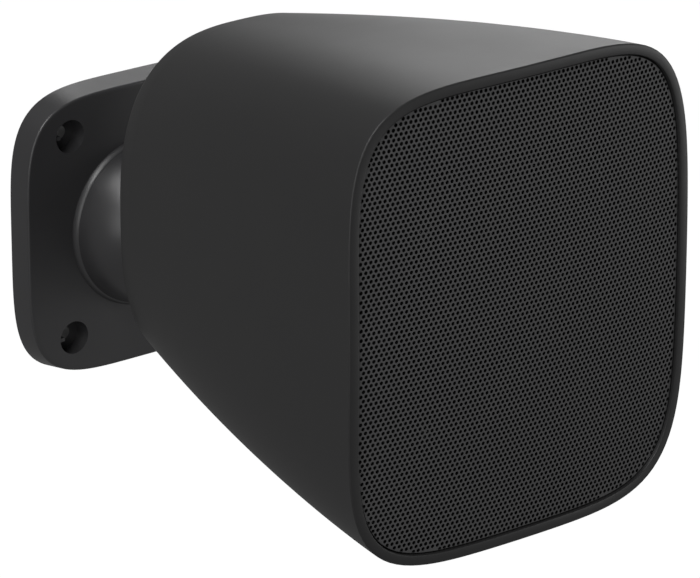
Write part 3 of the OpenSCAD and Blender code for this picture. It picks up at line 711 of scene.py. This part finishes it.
def makePlateShell():
    look = plateLook
    pocket = look["skin"] - look["thick"]
    bm = bmesh.new()

    def circle(edges, radius, ahead):
        return nextRing(bm, edges, radius, radius, 2.0, flatAt(jointY - ahead))

    def square(edges, inset, y, draft=look["draft"]):
        return nextRing(bm, edges, look["halfW"] - inset, look["halfH"] - inset - draft, look["square"], flatAt(y))

    low, top = math.radians(look["domeFrom"]), math.radians(look["domeTop"])
    footTop = look["footStep"] - look["ballOut"]

    def domePoint(turn):
        return look["dome"] * math.cos(turn), footTop + look["domeRise"] * (math.sin(turn) - math.sin(low))

    radius, ahead = domePoint(top)
    edges = firstRing(bm, cabinetLook["outline"], radius, radius, 2.0, flatAt(jointY - ahead))
    start = edges
    for k in range(1, look["domeRings"] + 1):
        edges = circle(edges, *domePoint(mix(top, low, k / look["domeRings"])))

    # the dome's foot slopes down to the plate, which catches a line of light
    footOut, footDown = look["footEdge"]
    for angle in (90, 75, 60, 45, 30, 15, 0):
        turn = math.radians(angle)
        inward = footOut * (1 - max(math.cos(turn), 0.0) ** look["footPower"])
        down = footDown * (1 - max(math.sin(turn), 0.0) ** look["footPower"])
        edges = circle(edges, look["foot"] - inward, footTop - down)
    edges = circle(edges, look["foot"], -look["ballOut"])

    # over the rounded front edge and the drafted side to the hollow back
    side, edge, skin, inner = look["sideDraft"], look["edge"], look["skin"], look["innerRound"]
    edges = square(edges, side + edge + look["edgeBand"], plateFront)
    for cut, d in ((1.0, 0.0), (0.74, 0.03), (0.5, 0.13), (0.29, 0.29), (0.13, 0.5), (0.03, 0.74), (0.0, 1.0)):
        edges = square(edges, side + edge * cut, plateFront + edge * d)
    edges = square(edges, 0.0, -look["backEdge"], 0.0)
    edges = square(edges, look["backEdge"], 0.0, 0.0)
    edges = square(edges, skin, 0.0, 0.0)
    for share, rise in ((0.0, 1.0), (0.3, 0.3), (1.0, 0.0)):
        edges = square(edges, skin + inner * share, pocket + inner * rise)

    # the hub, the bore for the retainer and the ball's seat
    for radius, y in ((look["hub"], pocket), (look["hub"], -look["hubSet"]), (look["bore"], -look["hubSet"])):
        edges = circle(edges, radius, jointY - y)
    edges = circle(edges, look["bore"], look["boreEnd"])
    seatFrom, seatTo = math.acos(look["boreEnd"] / look["seat"]), math.radians(look["mouthAngle"])
    for k in range(look["seatRings"] + 1):
        turn = mix(seatFrom, seatTo, k / look["seatRings"])
        edges = circle(edges, look["seat"] * math.sin(turn), look["seat"] * math.cos(turn))
    bmesh.ops.bridge_loops(bm, edges=edges + start)
    return bm


def makeWallPlate():
    look = plateLook
    overlap = look["overlap"]
    behind, cutters, ribs = bmesh.new(), bmesh.new(), bmesh.new()
    floor = look["headD"] - look["thick"]
    ribOut, ribHalf, ribSet = look["recessRib"]
    fixing = look["fixingRing"] * math.sqrt(0.5)
    reachX = look["halfW"] - look["skin"] + overlap
    reachZ = look["halfH"] - look["draft"] - look["skin"] + overlap
    half, hubIn, hubY = look["ribHalf"], look["hub"] - overlap, -look["hubSet"]
    for sideX in (-1, 1):
        for sideZ in (-1, 1):
            x, z = sideX * look["screwX"], sideZ * look["screwZ"]
            addPeg(behind, x, z, look["bossR"], 0.0, plateFront + overlap)
            addRecess(cutters, x, z)
            wallX = x + sideX * look["headR"]
            addBox(
                ribs, (wallX - ribOut, plateFront + ribSet, z - ribHalf),
                (wallX + ribOut, floor + overlap, z + ribHalf),
            )
            addPeg(cutters, sideX * fixing, sideZ * fixing, look["fixingR"], overlap, plateFront - 0.0001, 32)
        near, far = sorted((sideX * hubIn, sideX * reachX))
        addBox(behind, (near, plateFront + overlap, -half), (far, hubY, half))
        near, far = sorted((sideX * hubIn, sideX * reachZ))
        addBox(behind, (-half, plateFront + overlap, near), (half, hubY, far))
    plate = cutOrJoin(makePlateShell(), [
        ("UNION", behind), ("DIFFERENCE", cutters), ("DIFFERENCE", makeSlotCutter()), ("UNION", ribs),
    ])
    print("wall plate made:", len(plate.faces), "faces")
    body = nodes["wall_plate"]["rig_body"]
    return finishPiece("wall_plate_form", plate, "bracket_moulding", body, ("wall_plate",), 24)


makeWallPlate()


# Pieces whose CAD form is right, each with the radius of its edges
edgeRounds = {
    "ball_retainer": 0.0004,
    "ball_stud": 0.0004,
    "retainer_screws": 0.00015,
    "stud_screws": 0.0002,
    "cross_pin": 0.0001,
    "terminal_cup": 0.0005,
    "terminal_block": 0.0003,
    "terminal_screws": 0.00015,
    "cup_screws": 0.0002,
    "baffle": 0.0003,
    "baffle_screws": 0.0002,
    "driver_basket": 0.0003,
    "driver_gasket": 0.0004,
    "driver_screws": 0.0002,
    "magnet": 0.0006,
    "front_plate": 0.0003,
    "pole_piece": 0.0004,
    "surround": 0.0,
    "cone": 0.0,
    "dust_cap": 0.0,
    "voice_coil": 0.0,
    "spider": 0.0,
    "tag_strip": 0.0001,
    "baffle_seal": 0.0002,
    "wadding": 0.0,
}
flatAngle = 1.0
cornerAngle = 35


# A merged copy of the CAD mesh, with its corners rounded
def roundedCopy(name, radius):
    node = nodes[name]
    bm = bmesh.new()
    bm.from_mesh(node.data)
    bmesh.ops.remove_doubles(bm, verts=bm.verts, dist=mergeGap)
    bmesh.ops.dissolve_limit(bm, angle_limit=math.radians(flatAngle), verts=bm.verts, edges=bm.edges)
    if radius:
        inside = [edge for edge in bm.edges if len(edge.link_faces) == 2]
        corners = [edge for edge in inside if edge.calc_face_angle(0) > math.radians(cornerAngle)]
        bmesh.ops.bevel(
            bm, geom=corners, offset=radius, offset_type="OFFSET", segments=2, profile=0.5,
            affect="EDGES", material=-1, clamp_overlap=True,
        )
    return finishPiece(name + "_form", bm, slotOfNode[name], node["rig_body"], (name,))


for name, radius in edgeRounds.items():
    roundedCopy(name, radius)
print("cad forms finished:", len(edgeRounds))


# Floor and light

studio = {
    "floorZ": -0.55,
    "floorSize": 14.0,
    "floorTone": (0.05, 0.05, 0.05, 1),
    "seen": 1.0,
    "floorGlow": 0.2,
    "ambient": 0.21,
}


# The ground and the sky look white, and light the speaker only as much as a dim studio does
def seenOrDim(tree, dim):
    path = addNode(tree, "ShaderNodeLightPath")
    amount = addNode(tree, "ShaderNodeMapRange")
    amount.inputs["To Min"].default_value = dim
    amount.inputs["To Max"].default_value = studio["seen"]
    tree.links.new(path.outputs["Is Camera Ray"], amount.inputs["Value"])
    return amount.outputs["Result"]


def makeFloor():
    bm = bmesh.new()
    bmesh.ops.create_grid(bm, x_segments=2, y_segments=2, size=studio["floorSize"] / 2)
    bmesh.ops.translate(bm, verts=bm.verts, vec=(0, 0, studio["floorZ"]))
    floor = meshObject("floor", bm)
    material, tree, shader = newMaterial("pale_floor")
    shader.inputs["Base Color"].default_value = studio["floorTone"]
    shader.inputs["Roughness"].default_value = 1.0
    shader.inputs["Specular IOR Level"].default_value = 0.0
    shader.inputs["Emission Color"].default_value = (1, 1, 1, 1)
    tree.links.new(seenOrDim(tree, studio["floorGlow"]), shader.inputs["Emission Strength"])
    floor.data.materials.append(material)


def makeWorld():
    world = bpy.data.worlds.new("studio")
    world.use_nodes = True
    tree = world.node_tree
    background = tree.nodes["Background"]
    background.inputs["Color"].default_value = (1, 1, 1, 1)
    tree.links.new(seenOrDim(tree, studio["ambient"]), background.inputs["Strength"])
    bpy.context.scene.world = world
    bpy.context.scene.view_settings.view_transform = "Standard"


softLights = {
    "behind": {"azimuth": 120, "elevation": 14, "distance": 1.6, "size": (1.3, 0.5), "power": 5.0},
    "backTop": {"azimuth": 140, "elevation": 42, "distance": 1.5, "size": (0.6, 0.4), "power": 2.6},
    "above": {"azimuth": -100, "elevation": 62, "distance": 1.4, "size": (0.6, 0.6), "power": 4.5},
    "left": {"azimuth": -62, "elevation": 50, "distance": 1.5, "size": (0.5, 0.5), "power": 6.5},
    "front": {"azimuth": -66, "elevation": 10, "distance": 0.6, "size": (0.4, 0.4), "power": 0.9},
    "right": {"azimuth": 60, "elevation": 0, "distance": 1.2, "size": (0.5, 0.5), "power": 2.6},
}


def makeLights():
    for name, soft in softLights.items():
        data = bpy.data.lights.new(name, "AREA")
        data.shape = "RECTANGLE"
        data.size, data.size_y = soft["size"]
        data.energy = soft["power"]
        standAround(linkNew(name, data), soft)


makeFloor()
makeWorld()
makeLights()
print("stage set")
